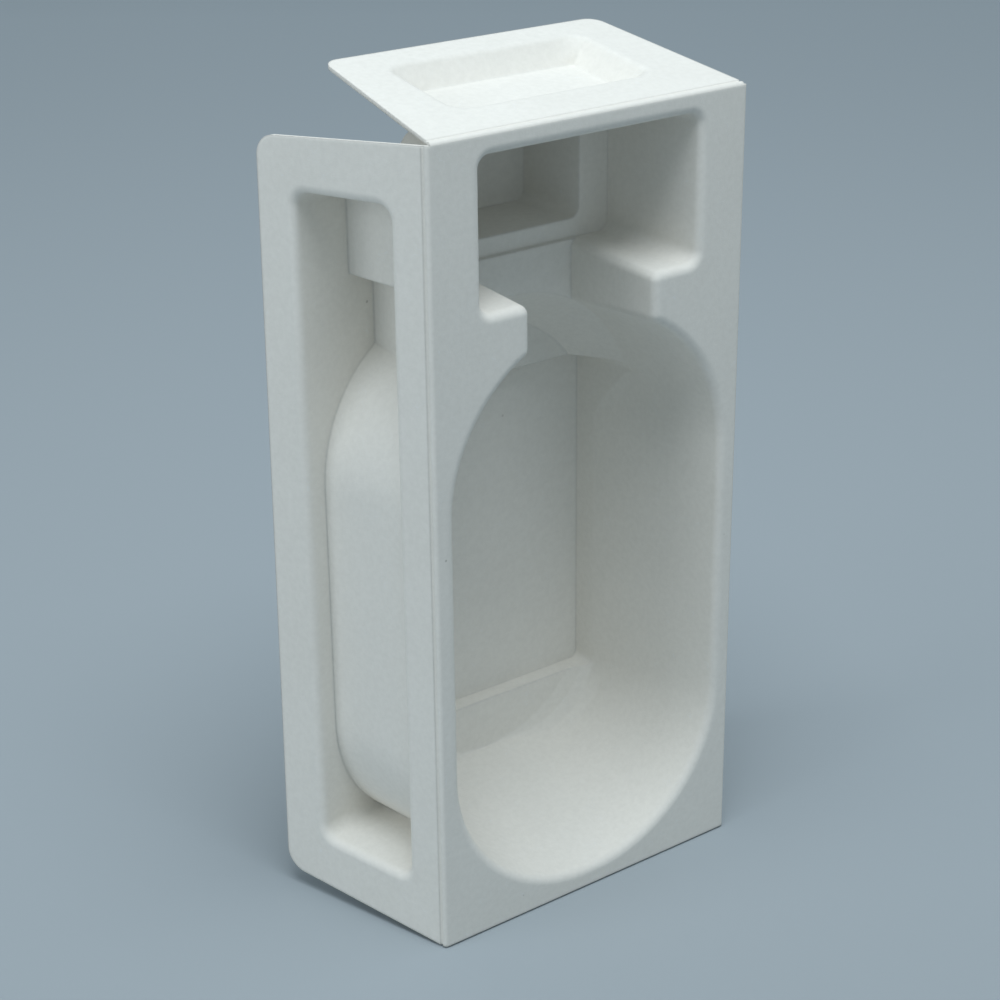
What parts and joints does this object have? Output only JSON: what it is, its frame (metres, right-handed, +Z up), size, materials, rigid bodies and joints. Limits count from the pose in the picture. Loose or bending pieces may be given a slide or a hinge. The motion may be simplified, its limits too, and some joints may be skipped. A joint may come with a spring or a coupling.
{
  "type": "molded pulp insert",
  "caption": "Molded pulp insert for a carton: a bottle-shaped stepped cavity in a panel with flaps folded back, the side flaps with pockets of their own.",
  "frame": {"origin": "middle of the footprint, at floor level", "axes": "+Z up along the panel's height, +Y from the front panel to the back, +X to the right seen from the front"},
  "size_m": [0.1296, 0.055, 0.2294],
  "materials": {
    "pulp": "matte molded fibre"
  },
  "bodies": {
    "root": {"insert": "pulp"}
  },
  "joints": []
}
